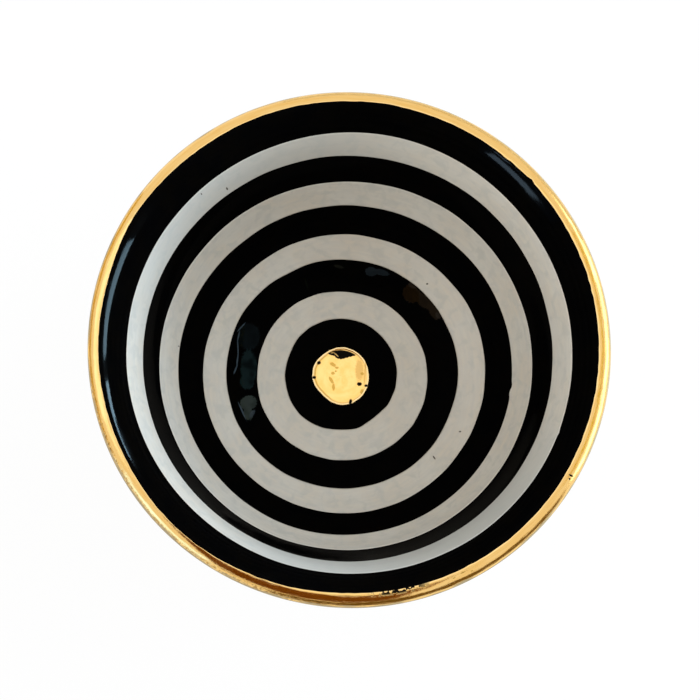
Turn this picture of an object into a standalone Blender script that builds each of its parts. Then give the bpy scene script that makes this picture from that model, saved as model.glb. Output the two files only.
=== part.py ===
"""Trinket dish: a small thrown clay bowl on a foot ring, coated inside in black and white rings.

The clay is one thrown and trimmed body. Every coat on it is a piece of its own: a gold dot on the floor, five
black rings and four white ones from there to the lip, gold over the lip, and white glaze on the outside and in
the foot's well. The faces of all coats lie on one outline, which runs from the middle of the floor up the
inside, over the lip and down the outside. Each coat is a stretch of that outline, and the clay lies behind it.
Metres, +Z up, with the origin on the table under the middle of the foot.
"""

import math
from dataclasses import dataclass

import bpy
import numpy as np

# Bowl, over its coats
RIM_DIAMETER = 0.120
HEIGHT = 0.056
FLOOR_HEIGHT = 0.007
WALL_THICKNESS = 0.0046
LIP_THICKNESS = 0.003
LIP_SLOPE = math.radians(43)

# Inside outline: how far the flat floor pulls outward, and how far the lip's slope pulls downward
FLOOR_PULL_SHARE = 0.948
LIP_PULL_SHARE = 0.467
# Inner wall over which its thickness grows from the lip's to the full one
THICKENING_SHARE = 0.35

# Foot ring
FOOT_RADIUS = 0.030
FOOT_WIDTH = 0.0055
FOOT_WELL_DEPTH = 0.0026
FOOT_CHAMFER = 0.0006
BARE_CLAY_MARGIN = 0.001

# Coats
COAT_THICKNESS = 0.0005
FIT_GAP = 0.0003
GOLD_DROP = 0.003

# Where each ring ends, from the middle of the floor, as shares of the inside outline's length
GOLD_DOT_END_SHARE = 0.09
BLACK_RING_END_SHARES = (1.0, 0.778, 0.544, 0.358, 0.172)
WHITE_RING_END_SHARES = (0.889, 0.65, 0.443, 0.263)

# Facets
TURN_STEPS = 48
DOT_FACETS = 1
RING_FACETS = 2
LIP_TO_TOP_FACETS = 2
LIP_TOP_TO_SIDE_FACETS = 3
LIP_SIDE_TO_WALL_FACETS = 1
GOLD_DROP_FACETS = 1
OUTER_WALL_FACETS = 6
OUTLINE_SAMPLES = 400
MERGE_DISTANCE = FIT_GAP / 30
SMOOTH_ANGLE = math.radians(40)


@dataclass(frozen=True)
class Finish:
    """Colour and surface of a coat or of the clay."""

    name: str
    color: tuple
    roughness: float
    metallic: float = 0.0


BARE_CLAY = Finish("bare_clay", (0.58, 0.36, 0.24, 1.0), 0.75)
WHITE_GLAZE = Finish("white_glaze", (0.62, 0.60, 0.56, 1.0), 0.2)
BLACK_GLAZE = Finish("black_glaze", (0.008, 0.008, 0.009, 1.0), 0.15)
GOLD_LUSTRE = Finish("gold_lustre", (0.88, 0.58, 0.19, 1.0), 0.3, 1.0)


class Outline:
    """The line on which the coats' faces lie, measured by its own length from the middle of the floor.

    Depth is measured behind the face, into the clay.
    """

    def __init__(self):
        inside = inside_curve()
        lip = lip_arc(inside[-1])
        outside = outside_curve(inside)
        # Each stretch starts on the last point of the one before it
        self.points = np.vstack((inside, lip[1:], outside[1:]))
        self.lengths = running_length(self.points)
        self.inside_end = self.lengths[len(inside) - 1]
        self.lip_end = self.lengths[len(inside) + len(lip) - 2]
        self.lip_top = self.lengths[np.argmax(self.points[:, 1])]
        self.lip_side = self.lengths[np.argmax(self.points[:, 0])]
        tangents = np.gradient(self.points, self.lengths, axis=0)
        tangents /= np.linalg.norm(tangents, axis=1)[:, None]
        self.into_clay = np.column_stack((tangents[:, 1], -tangents[:, 0]))

    def at(self, places, depth):
        """Return the points at these lengths along the outline, this deep behind the face."""
        points = [np.interp(places, self.lengths, self.points[:, axis]) for axis in (0, 1)]
        inward = [np.interp(places, self.lengths, self.into_clay[:, axis]) for axis in (0, 1)]
        return np.column_stack(points) + depth * np.column_stack(inward)

    def place_at_radius(self, radius):
        """Return the length along the outside wall at which it comes in to this radius."""
        outside = self.lengths >= self.lip_end
        # np.interp needs rising radii, so the outside wall is read from the foot upward
        return float(np.interp(radius, self.points[outside, 0][::-1], self.lengths[outside][::-1]))


def running_length(points):
    """Return the distance along a polyline at each of its points."""
    steps = np.linalg.norm(np.diff(points, axis=0), axis=1)
    return np.concatenate(([0.0], np.cumsum(steps)))


def inside_curve():
    """Return the face of the floor and inner wall, from the axis up to where the lip's round starts."""
    lip_radius = LIP_THICKNESS / 2
    direction = np.array((math.cos(LIP_SLOPE), math.sin(LIP_SLOPE)))
    start = np.array((0.0, FLOOR_HEIGHT))
    end = np.array((RIM_DIAMETER / 2 - lip_radius * (1 + direction[1]), HEIGHT - lip_radius * (1 - direction[0])))
    start_handle = start + np.array((RIM_DIAMETER / 2 * FLOOR_PULL_SHARE, 0.0))
    end_handle = end - direction * (HEIGHT - FLOOR_HEIGHT) * LIP_PULL_SHARE
    t = np.linspace(0.0, 1.0, OUTLINE_SAMPLES)[:, None]
    return ((1 - t) ** 3 * start + 3 * (1 - t) ** 2 * t * start_handle
            + 3 * (1 - t) * t ** 2 * end_handle + t ** 3 * end)


def lip_arc(start):
    """Return the half circle over the lip, from the inner wall's end to the outer wall's start."""
    lip_radius = LIP_THICKNESS / 2
    outward = np.array((math.sin(LIP_SLOPE), -math.cos(LIP_SLOPE)))
    centre = start + outward * lip_radius
    start_angle = math.pi / 2 + LIP_SLOPE
    # The quarter marks are among the samples, so that the top and the side are exact
    to_top = np.linspace(start_angle, math.pi / 2, OUTLINE_SAMPLES // 4)
    to_side = np.linspace(math.pi / 2, 0.0, OUTLINE_SAMPLES // 4)
    to_end = np.linspace(0.0, start_angle - math.pi, OUTLINE_SAMPLES // 4)
    angles = np.concatenate((to_top, to_side[1:], to_end[1:]))
    return centre + lip_radius * np.column_stack((np.cos(angles), np.sin(angles)))


def outside_curve(inside):
    """Return the face of the outer wall, from the lip down to the foot ring's outer side."""
    lengths = running_length(inside)
    tangents = np.gradient(inside, lengths, axis=0)
    tangents /= np.linalg.norm(tangents, axis=1)[:, None]
    outward = np.column_stack((tangents[:, 1], -tangents[:, 0]))
    below_lip = (lengths[-1] - lengths) / (lengths[-1] * THICKENING_SHARE)
    blend = np.clip(below_lip, 0.0, 1.0)
    blend = blend ** 2 * (3 - 2 * blend)
    thickness = LIP_THICKNESS + (WALL_THICKNESS - LIP_THICKNESS) * blend
    outside = (inside + outward * thickness[:, None])[::-1]
    return outside[outside[:, 0] > FOOT_RADIUS - COAT_THICKNESS - FIT_GAP]


def stretch(start, end, facets):
    """Return the places at which a stretch of the outline is broken into flat facets."""
    return np.linspace(start, end, facets + 1)


def lip_places(outline, start, end):
    """Return the places of a stretch over the lip, which keeps the lip's top and its side exact."""
    return np.concatenate((
        stretch(start, outline.lip_top, LIP_TO_TOP_FACETS),
        stretch(outline.lip_top, outline.lip_side, LIP_TOP_TO_SIDE_FACETS)[1:],
        stretch(outline.lip_side, outline.lip_end, LIP_SIDE_TO_WALL_FACETS)[1:],
        stretch(outline.lip_end, end, GOLD_DROP_FACETS)[1:],
    ))


def make_finish(finish):
    """Return the material of a finish, made the first time that it is asked for."""
    material = bpy.data.materials.get(finish.name)
    if material:
        return material
    material = bpy.data.materials.new(finish.name)
    material.use_nodes = True
    material.diffuse_color = finish.color
    shader = material.node_tree.nodes["Principled BSDF"]
    shader.inputs["Base Color"].default_value = finish.color
    shader.inputs["Roughness"].default_value = finish.roughness
    shader.inputs["Metallic"].default_value = finish.metallic
    return material


def turn(name, profile, finish, closed, collection):
    """Turn a profile round the Z axis into a solid.

    The profile runs down the solid's outer side. A closed one makes a ring. An open one starts and ends on the
    axis.
    """
    count = len(profile)
    edges = [(index, index + 1) for index in range(count - 1)]
    if closed:
        edges.append((count - 1, 0))
    mesh = bpy.data.meshes.new(name)
    mesh.from_pydata([(radius, 0.0, height) for radius, height in profile], edges, [])
    piece = bpy.data.objects.new(name, mesh)
    collection.objects.link(piece)
    piece.data.materials.append(make_finish(finish))
    screw = piece.modifiers.new("turn", "SCREW")
    screw.axis = "Z"
    screw.angle = 2 * math.pi
    screw.steps = TURN_STEPS
    screw.render_steps = TURN_STEPS
    screw.use_merge_vertices = True
    screw.merge_threshold = MERGE_DISTANCE
    apply_and_smooth(piece)
    return piece


def apply_and_smooth(piece):
    """Apply a piece's modifiers, then shade it smooth with its hard edges kept sharp."""
    evaluated = piece.evaluated_get(bpy.context.evaluated_depsgraph_get())
    mesh = bpy.data.meshes.new_from_object(evaluated)
    profile_mesh = piece.data
    piece.modifiers.clear()
    piece.data = mesh
    mesh.name = piece.name
    bpy.data.meshes.remove(profile_mesh)
    mesh.shade_smooth()
    mesh.set_sharp_from_angle(angle=SMOOTH_ANGLE)


def coat(name, outline, places, finish, collection):
    """Make the coat that covers these places of the outline, as a ring or, from the axis, as a disc."""
    face = outline.at(places, 0.0)
    back = outline.at(places, COAT_THICKNESS)
    starts_on_axis = places[0] == 0
    if starts_on_axis:
        face[0, 0] = 0.0
        back[0, 0] = 0.0
    return turn(name, np.vstack((face, back[::-1])), finish, not starts_on_axis, collection)


def ring_ends(outline):
    """Return the name, finish and end of every coat from the middle of the floor up to the gold on the lip."""
    ends = [("gold_dot", GOLD_LUSTRE, GOLD_DOT_END_SHARE)]
    for number, share in enumerate(BLACK_RING_END_SHARES, start=1):
        ends.append((f"black_ring_{number}", BLACK_GLAZE, share))
    for number, share in enumerate(WHITE_RING_END_SHARES, start=1):
        ends.append((f"white_ring_{number}", WHITE_GLAZE, share))
    ends.sort(key=lambda entry: entry[2])
    return [(name, finish, share * outline.inside_end) for name, finish, share in ends]


def build_inner_coats(outline, collection):
    """Make the dot and the rings of the inside, and return the places that the clay under them needs."""
    clay_places = [np.zeros(1)]
    start = 0.0
    for name, finish, end in ring_ends(outline):
        facets = RING_FACETS if start > 0 else DOT_FACETS
        first = start + FIT_GAP / 2 if start > 0 else 0.0
        coat(name, outline, stretch(first, end - FIT_GAP / 2, facets), finish, collection)
        clay_places.append(stretch(start, end, facets)[1:])
        start = end
    return np.concatenate(clay_places)


def build_lip_and_outside(outline, collection):
    """Make the gold over the lip and the glaze below it, and return the places that the clay under them needs."""
    gold_end = outline.lip_end + GOLD_DROP
    glaze_end = outline.place_at_radius(FOOT_RADIUS + BARE_CLAY_MARGIN)
    gold = lip_places(outline, outline.inside_end + FIT_GAP / 2, gold_end - FIT_GAP / 2)
    coat("gold_rim", outline, gold, GOLD_LUSTRE, collection)
    wall = stretch(gold_end + FIT_GAP / 2, glaze_end, OUTER_WALL_FACETS)
    coat("outside_glaze", outline, wall, WHITE_GLAZE, collection)
    under_gold = lip_places(outline, outline.inside_end, gold_end)[1:]
    under_glaze = stretch(gold_end, glaze_end, OUTER_WALL_FACETS)[1:]
    return np.concatenate((under_gold, under_glaze))


def foot_profile():
    """Return the foot ring's section, from its outer side round its base to the middle of its well."""
    inner = FOOT_RADIUS - FOOT_WIDTH
    return np.array((
        (FOOT_RADIUS, FOOT_CHAMFER),
        (FOOT_RADIUS - FOOT_CHAMFER, 0.0),
        (inner + FOOT_CHAMFER, 0.0),
        (inner, FOOT_CHAMFER),
        (inner, FOOT_WELL_DEPTH),
        (0.0, FOOT_WELL_DEPTH),
    ))


def build_clay(outline, places, collection):
    """Make the thrown and trimmed clay body that lies behind all the coats."""
    behind = outline.at(places, COAT_THICKNESS + FIT_GAP)
    behind[0, 0] = 0.0
    foot_top_place = outline.place_at_radius(FOOT_RADIUS)
    foot_top = outline.at([foot_top_place], COAT_THICKNESS + FIT_GAP)
    foot_top[0, 0] = FOOT_RADIUS
    profile = np.vstack((behind, foot_top, foot_profile()))
    return turn("clay_body", profile, BARE_CLAY, False, collection)


def build_foot_well_glaze(collection):
    """Make the disc of glaze on the ceiling of the foot's well, inside the bare foot ring."""
    radius = FOOT_RADIUS - FOOT_WIDTH - FIT_GAP
    top = FOOT_WELL_DEPTH - FIT_GAP
    bottom = top - COAT_THICKNESS
    profile = np.array(((0.0, top), (radius, top), (radius, bottom), (0.0, bottom)))
    return turn("foot_well_glaze", profile, WHITE_GLAZE, False, collection)


def main():
    """Empty the scene and build the dish."""
    for old in list(bpy.data.objects):
        bpy.data.objects.remove(old, do_unlink=True)
    collection = bpy.data.collections.new("trinket_dish")
    bpy.context.scene.collection.children.link(collection)
    outline = Outline()
    inner_places = build_inner_coats(outline, collection)
    outer_places = build_lip_and_outside(outline, collection)
    build_clay(outline, np.concatenate((inner_places, outer_places)), collection)
    build_foot_well_glaze(collection)


if __name__ == "__main__":
    main()
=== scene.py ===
"""Trinket dish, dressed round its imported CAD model.

A small hand-thrown bowl on a foot ring. Black and white glaze rings run round its inside, gold lustre
covers its lip and a dot on its floor, and white glaze covers the outside and the foot's well. Every coat is a
piece of its own, turned from its section and laid on one outline, with the borders a little off centre as a
brush leaves them.
"""
import logging
import math
from dataclasses import dataclass, field
from enum import Enum
from functools import cached_property
from typing import Any, ClassVar

import bpy
import numpy as np
from mathutils import Matrix, Quaternion, Vector


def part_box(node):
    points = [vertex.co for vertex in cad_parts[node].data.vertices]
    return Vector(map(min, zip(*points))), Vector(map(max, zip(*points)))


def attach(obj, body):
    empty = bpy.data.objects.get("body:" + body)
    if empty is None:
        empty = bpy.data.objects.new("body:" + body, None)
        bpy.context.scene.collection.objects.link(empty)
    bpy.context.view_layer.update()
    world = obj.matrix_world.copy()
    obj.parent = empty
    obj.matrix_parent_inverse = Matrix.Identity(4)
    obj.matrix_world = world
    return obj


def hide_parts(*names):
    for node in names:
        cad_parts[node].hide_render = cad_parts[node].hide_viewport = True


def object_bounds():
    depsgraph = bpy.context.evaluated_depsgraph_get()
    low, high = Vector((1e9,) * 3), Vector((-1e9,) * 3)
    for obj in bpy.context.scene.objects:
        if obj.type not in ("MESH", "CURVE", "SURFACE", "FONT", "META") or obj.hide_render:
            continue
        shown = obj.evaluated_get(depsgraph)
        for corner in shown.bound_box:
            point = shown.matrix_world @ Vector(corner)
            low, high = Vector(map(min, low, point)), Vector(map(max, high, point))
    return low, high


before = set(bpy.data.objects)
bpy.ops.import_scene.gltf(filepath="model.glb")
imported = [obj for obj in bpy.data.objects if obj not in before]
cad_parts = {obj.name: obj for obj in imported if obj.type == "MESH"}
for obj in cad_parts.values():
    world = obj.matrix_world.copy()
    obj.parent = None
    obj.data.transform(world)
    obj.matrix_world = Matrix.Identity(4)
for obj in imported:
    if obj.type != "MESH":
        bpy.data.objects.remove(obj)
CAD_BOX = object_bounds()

LOG = logging.getLogger("trinket_dish")
MM = 0.001
WELD = 0.002 * MM
ON_AXIS = 0.0001 * MM
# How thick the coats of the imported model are.
CAD_COAT = 0.5 * MM
BODY = "root"
PHOTO_WIDTH = 700
SENSOR_WIDTH = 36.0
SHARP_ANGLE = math.radians(38)
GLAZE_IOR = 1.5
# Where the middle of a mark's soft edge lies, as a share of its whole length or width.
MARK_EDGE = 0.475
# The slowest and the fastest waves a turn in a border's two kinds of noise, and the step between their seeds.
WOBBLE_WAVES = (5, 26)
RAGGED_WAVES = (40, 160)
RAGGED_SEED = 50
FLOAT = "NodeSocketFloat"
VECTOR = "NodeSocketVector"
COLOR = "NodeSocketColor"

Rgb = tuple[float, float, float]
Rgba = tuple[float, float, float, float]
Socket = bpy.types.NodeSocket
Value = bpy.types.NodeSocket | float


class Slot(Enum):
    """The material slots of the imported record."""

    CLAY = "bare_clay"
    WHITE = "white_glaze"
    BLACK = "black_glaze"
    GOLD = "gold_lustre"


class Glaze(Enum):
    """The glaze of a ring."""

    BLACK = "black"
    WHITE = "white"


# Outline


@dataclass
class Outline:
    """The line on which the coats' faces lie, from the middle of the floor up the inside and over the lip.

    Places are lengths along the line. Heights stand on the line, away from the clay. The two pulls are the
    lengths of the inside curve's handles, as shares of the rim's radius and of the depth, and the thickening
    is the share of the inside over which the wall grows from the lip's thickness to its own.
    """

    rim_radius: float
    floor_height: float
    rim_height: float
    lip_slope: float = math.radians(43)
    lip_thickness: float = 3.0 * MM
    wall_thickness: float = 4.6 * MM
    floor_pull: float = 0.948
    lip_pull: float = 0.467
    thickening: float = 0.35
    lip_setback: float = 1.0 * MM
    lip_edge_radius: float = 0.5 * MM
    lip_edge_end: float = math.radians(-2)
    lip_fall_end: float = math.radians(-60)
    foot_radius: float = 30.0 * MM
    samples: int = 900

    def __post_init__(self) -> None:
        """Trace the inside, the lip and the outside, and measure the whole line."""
        inside = self.inside_curve()
        self.inside_end = float(running_length(inside)[-1])
        inside = inside[running_length(inside) < self.inside_end - self.lip_setback]
        lip, lip_thickness = self.lip_curve(inside)
        outside = self.outside_curve(inside, lip_thickness)
        outside = outside[outside[:, 0] > self.foot_radius - 1.0 * MM]
        self.points = np.vstack((inside, lip, outside))
        self.lengths = running_length(self.points)
        self.lip_start = float(self.lengths[len(inside)])
        self.lip_end = float(self.lengths[len(inside) + len(lip) - 1])
        tangents = np.gradient(self.points, self.lengths, axis=0)
        tangents /= np.linalg.norm(tangents, axis=1)[:, None]
        self.normals = np.column_stack((-tangents[:, 1], tangents[:, 0]))

    def inside_curve(self) -> np.ndarray:
        """Trace the face of the floor and the inner wall.

        Returns:
            Points as (radius, height), from the axis up past the place where the lip will start.
        """
        direction = np.array((math.cos(self.lip_slope), math.sin(self.lip_slope)))
        start = np.array((0.0, self.floor_height))
        under_top = self.lip_edge_radius * (1 - direction[0]) - self.lip_setback * direction[1]
        end = np.array((self.rim_radius - self.lip_thickness / 2 * (1 + direction[1]),
                        self.rim_height - under_top))
        start_handle = start + np.array((self.rim_radius * self.floor_pull, 0.0))
        end_handle = end - direction * (self.rim_height - self.floor_height) * self.lip_pull
        t = np.linspace(0.0, 1.0, self.samples)[:, None]
        return ((1 - t) ** 3 * start + 3 * (1 - t) ** 2 * t * start_handle
                + 3 * (1 - t) * t ** 2 * end_handle + t ** 3 * end)

    def lip_curve(self, inside: np.ndarray) -> tuple[np.ndarray, float]:
        """Trace the lip: a tight round at its inner edge, a long fall to its side and a round under that.

        Args:
            inside: The inner face, as points. The lip starts at its end, along its slope.

        Returns:
            The lip's points, and how thick the wall is where it leaves it.
        """
        run, climb = inside[-1] - inside[-2]
        slope = math.atan2(climb, run)
        outward = np.array((math.sin(slope), -math.cos(slope)))
        edge = turn_step(slope, self.lip_edge_end)
        fall = turn_step(self.lip_edge_end, self.lip_fall_end)
        under = turn_step(self.lip_fall_end, slope - math.pi)
        to_side = math.sin(self.lip_fall_end) + 1
        closing = np.array(((fall[0], under[0], -outward[0]), (fall[1], under[1], -outward[1]),
                            (fall[0], to_side, 0.0)))
        ends = np.append(-self.lip_edge_radius * edge,
                         self.rim_radius - inside[-1, 0] - self.lip_edge_radius * edge[0])
        fall_radius, under_radius, thickness = np.linalg.solve(closing, ends)
        turns = (
            (slope, self.lip_edge_end, self.lip_edge_radius),
            (self.lip_edge_end, self.lip_fall_end, fall_radius),
            (self.lip_fall_end, slope - math.pi, under_radius),
        )
        points = [inside[-1]]
        for from_slope, to_slope, radius in turns:
            corner = points[-1]
            slopes = np.linspace(from_slope, to_slope, self.samples // 4)[1:]
            points.extend(corner + radius * turn_step(from_slope, slope) for slope in slopes)
        return np.array(points[1:]), float(thickness)

    def outside_curve(self, inside: np.ndarray, lip_thickness: float) -> np.ndarray:
        """Trace the face of the outer wall.

        Args:
            inside: The inner face, as points.
            lip_thickness: How thick the wall is at the lip.

        Returns:
            Points from the lip down towards the axis.
        """
        lengths = running_length(inside)
        tangents = np.gradient(inside, lengths, axis=0)
        tangents /= np.linalg.norm(tangents, axis=1)[:, None]
        outward = np.column_stack((tangents[:, 1], -tangents[:, 0]))
        blend = smoothstep((lengths[-1] - lengths) / (lengths[-1] * self.thickening))
        thickness = lip_thickness + (self.wall_thickness - lip_thickness) * blend
        return (inside + outward * thickness[:, None])[:-1][::-1]

    def at(self, places: np.ndarray, heights: np.ndarray | float) -> np.ndarray:
        """Find points by their place and height.

        Args:
            places: Lengths along the line.
            heights: How far each point stands off the line.

        Returns:
            Points as (radius, height above the table).
        """
        points = np.column_stack([np.interp(places, self.lengths, self.points[:, axis]) for axis in (0, 1)])
        normals = np.column_stack([np.interp(places, self.lengths, self.normals[:, axis]) for axis in (0, 1)])
        return points + normals * np.broadcast_to(heights, np.shape(places))[:, None]

    def place_outside(self, radius: float) -> float:
        """Return the place on the outer wall at which it comes in to a radius."""
        outer = self.lengths >= self.lip_end
        return float(np.interp(radius, self.points[outer, 0][::-1], self.lengths[outer][::-1]))


def running_length(points: np.ndarray) -> np.ndarray:
    """Return the distance along a line of points at each of them."""
    return np.concatenate(([0.0], np.cumsum(np.linalg.norm(np.diff(points, axis=0), axis=1))))


def turn_step(from_slope: float, to_slope: float) -> np.ndarray:
    """Return the way across an arc of radius 1 that turns clockwise from one slope to another."""
    return np.array((math.sin(from_slope) - math.sin(to_slope), math.cos(to_slope) - math.cos(from_slope)))


def smoothstep(values: np.ndarray | float) -> np.ndarray:
    """Return a soft step from 0 at 0 to 1 at 1."""
    clipped = np.clip(values, 0.0, 1.0)
    return clipped ** 2 * (3 - 2 * clipped)


# Hand work: borders and the bowl's own unevenness


@dataclass(frozen=True)
class Dent:
    """A stretch of a border that is set in or out: its middle and half width in degrees, its shift in mm."""

    angle: float
    width: float
    shift: float

    def at(self, angles: np.ndarray) -> np.ndarray:
        """Return the border's shift at each angle, in metres."""
        away = (np.degrees(angles) - self.angle + 180) % 360 - 180
        return self.shift * MM * np.exp(-(away / self.width) ** 2)


@dataclass(frozen=True)
class Border:
    """Where one coat ends and the next begins: its share of the inside, and how the brush strayed.

    All shifts are in millimetres along the outline. The drift moves the whole border in X and Y, wider moves
    it outward all round, and the wobble and the ragged part are slow and fine noise.
    """

    share: float
    drift: tuple[float, float]
    wider: float = 0.0
    wobble: float = 0.0
    ragged: float = 0.0
    seed: int = 0
    dents: tuple[Dent, ...] = ()

    def shift(self, angles: np.ndarray) -> np.ndarray:
        """Find how far along the outline the border moves.

        Args:
            angles: Angles round the bowl, in radians.

        Returns:
            The shift at each angle, in metres.
        """
        shift = self.wider * MM + self.drift[0] * MM * np.cos(angles) + self.drift[1] * MM * np.sin(angles)
        shift = shift + self.wobble * MM * turn_noise(angles, self.seed, *WOBBLE_WAVES)
        shift = shift + self.ragged * MM * turn_noise(angles, self.seed + RAGGED_SEED, *RAGGED_WAVES)
        for dent in self.dents:
            shift = shift + dent.at(angles)
        return shift


def turn_noise(angles: np.ndarray, seed: int, slowest: int, fastest: int) -> np.ndarray:
    """Draw smooth noise that closes on itself round the bowl.

    Args:
        angles: Where it is wanted, in radians.
        seed: Picks the noise.
        slowest: Waves a turn in its longest part.
        fastest: Waves a turn in its shortest part.

    Returns:
        Values of about -1 to 1.
    """
    draw = np.random.default_rng(seed)
    turn = np.linspace(0, 2 * math.pi, 24 * fastest + 1)
    total = np.zeros_like(turn)
    power = 0.0
    for count in range(slowest, fastest + 1):
        size = draw.normal() / math.sqrt(count)
        power += 1 / count
        total += size * np.cos(count * turn + draw.uniform(0, 2 * math.pi))
    return np.interp(angles % (2 * math.pi), turn, total) / math.sqrt(power / 2) / 2


@dataclass
class Bowl:
    """The thrown form: its outline, its borders and the gentle waves that a hand leaves in it.

    The wave lengths are in millimetres, and the wave counts say how often each wave comes round the bowl.
    """

    outline: Outline
    borders: tuple[Border, ...]
    gold_drop: float = 3.0 * MM
    wave_height: float = 0.03 * MM
    wave_lengths: tuple[float, float] = (14.0, 40.0)
    wave_counts: tuple[int, ...] = (0, 1, 2, 2, 3, 4, 5)
    flare_height: float = 0.12 * MM
    flare_reach: float = 4.0 * MM
    flare_lean: float = 0.35
    flare_side: float = math.radians(215)
    still_middle: float = 9.0 * MM
    seed: int = 11

    def __post_init__(self) -> None:
        """Measure where the borders lie, with the middle and both ends of the outline fixed."""
        self.border_places = [border.share * self.outline.inside_end for border in self.borders]
        self.gold_end = self.outline.lip_end + self.gold_drop
        self.stops = np.array([0.0, *self.border_places, self.outline.lip_end, self.outline.lengths[-1]])

    def shifted(self, places: np.ndarray, angles: np.ndarray) -> np.ndarray:
        """Move places along the outline as the borders round them have strayed.

        Args:
            places: Lengths along the outline.
            angles: Angles round the bowl, in radians.

        Returns:
            The moved places.
        """
        still = np.zeros_like(angles)
        shifts = np.array([still, *(border.shift(angles) for border in self.borders), still, still])
        right = np.clip(np.searchsorted(self.stops, places), 1, len(self.stops) - 1)
        share = np.clip((places - self.stops[right - 1]) / (self.stops[right] - self.stops[right - 1]), 0, 1)
        each = np.arange(len(places))
        return places + (1 - share) * shifts[right - 1, each] + share * shifts[right, each]

    def waves(self, places: np.ndarray, angles: np.ndarray) -> np.ndarray:
        """Find how far the thrown face waves off the outline.

        Args:
            places: Lengths along the outline.
            angles: Angles round the bowl, in radians.

        Returns:
            The height of the waves at each point, in metres.
        """
        draw = np.random.default_rng(self.seed)
        total = np.zeros_like(places)
        for count in self.wave_counts:
            length = draw.uniform(*self.wave_lengths) * MM
            turn, start = draw.uniform(0, 2 * math.pi, 2)
            total += np.cos(count * angles + turn) * np.cos(2 * math.pi * places / length + start)
        total *= self.wave_height * smoothstep(places / self.still_middle)
        below_lip = np.clip((self.outline.lip_start - places) / self.flare_reach, 0, None)
        flare = below_lip * np.exp(1 - below_lip) * (1 + self.flare_lean * np.cos(angles - self.flare_side))
        return total + self.flare_height * flare

    def lay(self, piece: bpy.types.Object) -> None:
        """Lay a piece that was turned flat onto the bowl, and keep its place there for its finish.

        Args:
            piece: Its vertices have the place as their radius and the height above the outline as their Z.
        """
        count = len(piece.data.vertices)
        flat = np.empty(count * 3, dtype=np.float32)
        piece.data.vertices.foreach_get("co", flat)
        flat = flat.reshape(-1, 3).astype(float)
        places = np.hypot(flat[:, 0], flat[:, 1])
        angles = np.arctan2(flat[:, 1], flat[:, 0])
        moved = self.shifted(places, angles)
        section = self.outline.at(moved, flat[:, 2] + self.waves(moved, angles))
        radius, height = section[:, 0], section[:, 1]
        laid = np.column_stack((radius * np.cos(angles), radius * np.sin(angles), height))
        laid[places < ON_AXIS, :2] = 0.0
        start, end = places.min(), places.max()
        coat = np.column_stack((places - start, end - places, moved)) / MM
        layer = piece.data.attributes.new("coat_place", "FLOAT_VECTOR", "POINT")
        layer.data.foreach_set("vector", coat.astype(np.float32).ravel())
        piece.data.vertices.foreach_set("co", laid.astype(np.float32).ravel())
        piece.data.update()


# Turning a piece from its section


def deselect_all() -> None:
    """Leave edit mode and select nothing."""
    if bpy.context.object and bpy.context.object.mode != "OBJECT":
        bpy.ops.object.mode_set(mode="OBJECT")
    bpy.ops.object.select_all(action="DESELECT")


def turn_section(name: str, section: np.ndarray, closed: bool, steps: int) -> bpy.types.Object:
    """Draw a section vertex by vertex and turn it round the Z axis.

    Args:
        name: The piece's name.
        section: Points as (radius, height), running with the solid on their right.
        closed: Whether the section closes on itself. An open one starts and ends on the axis.
        steps: Facets round the turn.

    Returns:
        The turned piece, closed, with its faces outward.
    """
    deselect_all()
    bpy.ops.mesh.primitive_plane_add(size=1 * MM, location=(0, 0, 0))
    piece = bpy.context.object
    piece.name = name
    piece.data.name = name
    bpy.ops.object.mode_set(mode="EDIT")
    bpy.ops.mesh.select_all(action="SELECT")
    bpy.ops.mesh.merge(type="CENTER")
    bpy.ops.transform.translate(value=(section[0][0], 0.0, section[0][1]))
    walk = np.vstack((section, section[:1])) if closed else section
    for step in np.diff(walk, axis=0):
        bpy.ops.mesh.extrude_vertices_move(TRANSFORM_OT_translate={"value": (step[0], 0.0, step[1])})
    bpy.ops.mesh.select_all(action="SELECT")
    bpy.ops.mesh.remove_doubles(threshold=WELD)
    bpy.ops.object.mode_set(mode="OBJECT")
    bpy.ops.object.modifier_add(type="SCREW")
    screw = piece.modifiers[-1]
    screw.axis = "Z"
    screw.steps = screw.render_steps = steps
    screw.use_merge_vertices = True
    screw.merge_threshold = WELD
    bpy.ops.object.modifier_apply(modifier=screw.name)
    bpy.ops.object.mode_set(mode="EDIT")
    bpy.ops.mesh.select_all(action="SELECT")
    bpy.ops.mesh.remove_doubles(threshold=WELD)
    bpy.ops.mesh.normals_make_consistent(inside=False)
    bpy.ops.object.mode_set(mode="OBJECT")
    return piece


def close_to_edges(start: float, end: float, count: int) -> np.ndarray:
    """Return places from start to end that crowd towards both ends."""
    return start + (end - start) * (1 - np.cos(np.linspace(0, math.pi, count))) / 2


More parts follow.
